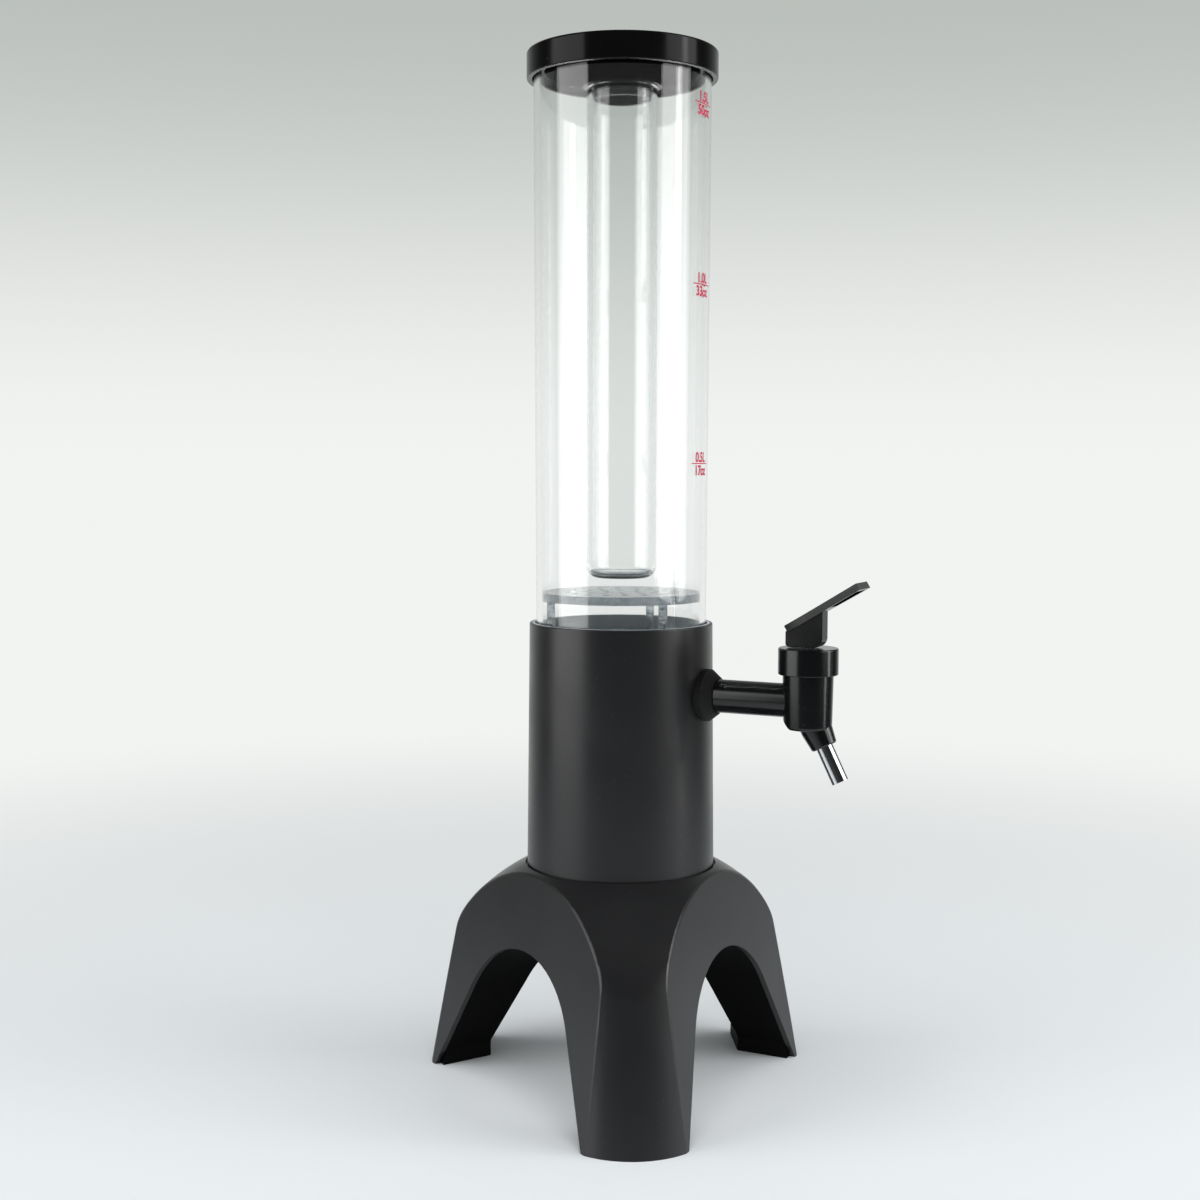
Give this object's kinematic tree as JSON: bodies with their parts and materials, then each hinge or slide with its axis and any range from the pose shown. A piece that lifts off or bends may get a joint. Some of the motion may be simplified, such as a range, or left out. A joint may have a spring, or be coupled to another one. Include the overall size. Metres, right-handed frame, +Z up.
{
  "type": "beer tower dispenser",
  "caption": "Table-top beer tower: a clear graduated tube with an ice tube hung from its lid, on a black column with a lever tap and an arched tripod base.",
  "frame": {"origin": "on the tower's vertical axis, level with the feet", "axes": "+Z up along the tower, the tap points to -Y, one leg points to +Y"},
  "size_m": [0.2042, 0.2449, 0.5405],
  "materials": {
    "black_body": "satin moulded plastic",
    "black_underside": "matt moulded plastic",
    "slate_inside": "smooth moulded plastic",
    "black_lid": "glossy moulded plastic",
    "black_tap": "glossy moulded plastic",
    "black_washer": "matt",
    "black_nut": "moulded plastic",
    "black_rubber": "soft seal",
    "clear_tube": "polished clear plastic",
    "clear_ice_tube": "polished clear plastic",
    "clear_strainer": "clear moulded plastic",
    "chrome_spout": "polished",
    "steel": "plain stainless"
  },
  "bodies": {
    "stand": {"base_shell": "black_body", "base_underside": "black_underside", "underside_screws": "steel", "sleeve_screws": "steel", "column_sleeve": "black_body", "chamber_floor": "slate_inside", "tube_gasket": "black_rubber", "strainer_disc": "clear_strainer", "tap_body": "black_tap", "tap_washer": "black_washer", "inner_washer": "black_rubber", "shank_nut": "black_nut", "tap_collar": "black_tap", "stem_ring": "black_rubber", "spout": "chrome_spout"},
    "tower": {"beer_tube": "clear_tube"},
    "lid": {"lid_cap": "black_lid", "lid_seal": "black_rubber", "holder_ring": "black_rubber"},
    "ice_insert": {"ice_tube": "clear_ice_tube"},
    "stem": {"valve_stem": "steel", "valve_seal": "black_rubber", "return_spring": "steel"},
    "lever": {"tap_lever": "black_tap", "lever_pin": "black_tap"}
  },
  "joints": [
    {"name": "tube_lift", "type": "slide", "parent": "stand", "child": "tower", "axis": [0, 0, 1], "range_m": [0, 0.03]},
    {"name": "lid_lift", "type": "slide", "parent": "tower", "child": "lid", "axis": [0, 0, 1], "range_m": [0, 0.268]},
    {"name": "ice_tube_release", "type": "slide", "parent": "lid", "child": "ice_insert", "axis": [0, 0, -1], "range_m": [0, 0.0065]},
    {"name": "stem_lift", "type": "slide", "parent": "stand", "child": "stem", "axis": [0, 0, 1], "range_m": [0, 0.00157], "deforming": ["return_spring"]},
    {"name": "lever_press", "type": "hinge", "parent": "stem", "child": "lever", "pos_m": [0, -0.1043, 0.244], "axis": [1, 0, 0], "range_deg": [0, 25], "stiffness_Nm_per_rad": 0.03, "springref_deg": -17.19}
  ],
  "couplings": [
    {"joint": "lever_press", "follows": "stem_lift", "rad_per_m": 277.78}
  ]
}
